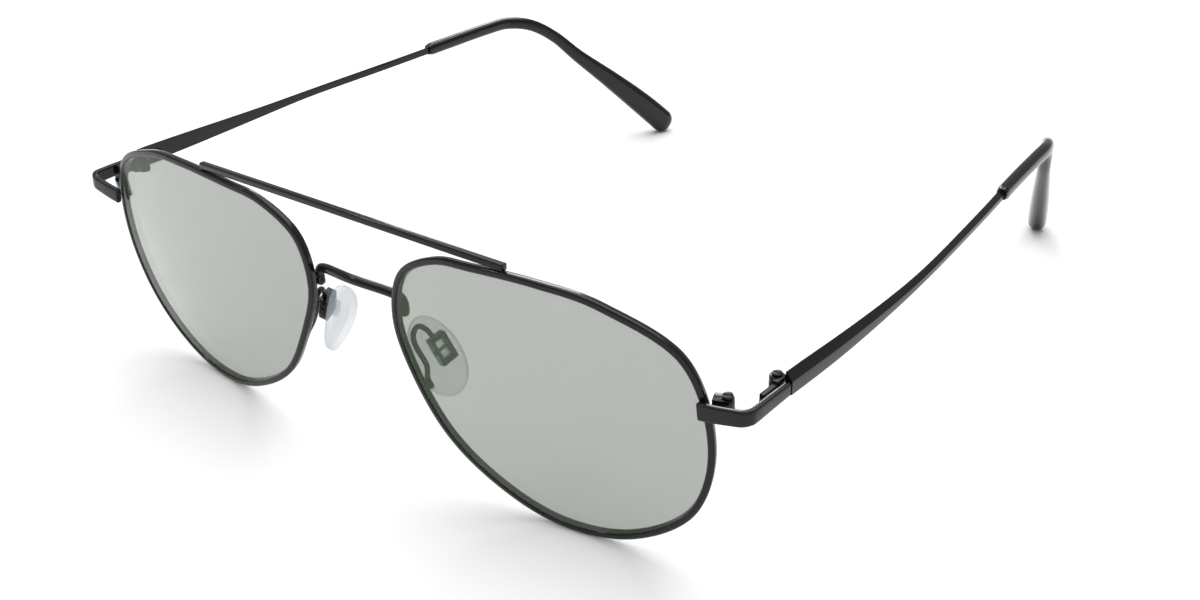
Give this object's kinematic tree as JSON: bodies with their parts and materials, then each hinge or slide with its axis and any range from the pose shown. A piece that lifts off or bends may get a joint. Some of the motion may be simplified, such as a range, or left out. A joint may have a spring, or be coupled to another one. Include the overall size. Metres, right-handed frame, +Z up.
{
  "type": "aviator sunglasses",
  "caption": "Aviator sunglasses with a thin black metal frame, double bridge, grey-green tinted lenses, clear nose pads and folding temples with black plastic tips.",
  "frame": {"origin": "the middle of the whole pair's length and width, on the surface that it stands on", "axes": "+X to the wearer's left, +Y towards the back of the head, +Z up; the lenses face -Y"},
  "size_m": [0.1412, 0.1586, 0.0451],
  "materials": {
    "frame": "satin black paint",
    "screw": "black steel",
    "lens": "grey-green tint, polished",
    "tip": "polished black",
    "pad": "clear, polished"
  },
  "bodies": {
    "front": {"brow_bar": "frame", "bridge": "frame", "left_rim": "frame", "left_lens": "lens", "left_rim_lock_upper": "frame", "left_rim_lock_lower": "frame", "left_rim_lock_screw": "screw", "left_end_piece": "frame", "left_front_hinge": "frame", "left_hinge_screw": "screw", "left_pad_arm": "frame", "left_pad_box": "frame", "left_pad_screw": "screw", "right_rim": "frame", "right_lens": "lens", "right_rim_lock_upper": "frame", "right_rim_lock_lower": "frame", "right_rim_lock_screw": "screw", "right_end_piece": "frame", "right_front_hinge": "frame", "right_hinge_screw": "screw", "right_pad_arm": "frame", "right_pad_box": "frame", "right_pad_screw": "screw"},
    "left_temple": {"left_temple": "frame", "left_temple_hinge": "frame", "left_temple_tip": "tip"},
    "right_temple": {"right_temple": "frame", "right_temple_hinge": "frame", "right_temple_tip": "tip"},
    "left_pad": {"left_nose_pad": "pad"},
    "right_pad": {"right_nose_pad": "pad"}
  },
  "joints": [
    {"name": "left_temple_fold", "type": "hinge", "parent": "front", "child": "left_temple", "pos_m": [0.068, -0.06323, 0.0316], "axis": [0, 0, 1], "range_deg": [0, 85]},
    {"name": "right_temple_fold", "type": "hinge", "parent": "front", "child": "right_temple", "pos_m": [-0.068, -0.06323, 0.0316], "axis": [0, 0, -1], "range_deg": [0, 75]},
    {"name": "left_pad_rock", "type": "hinge", "parent": "front", "child": "left_pad", "pos_m": [0.01264, -0.07125, 0.02244], "axis": [0.1603, 0.9297, 0.3317], "range_deg": [-6, 6]},
    {"name": "right_pad_rock", "type": "hinge", "parent": "front", "child": "right_pad", "pos_m": [-0.01264, -0.07125, 0.02244], "axis": [0.1603, -0.9297, -0.3317], "range_deg": [-6, 6]}
  ]
}
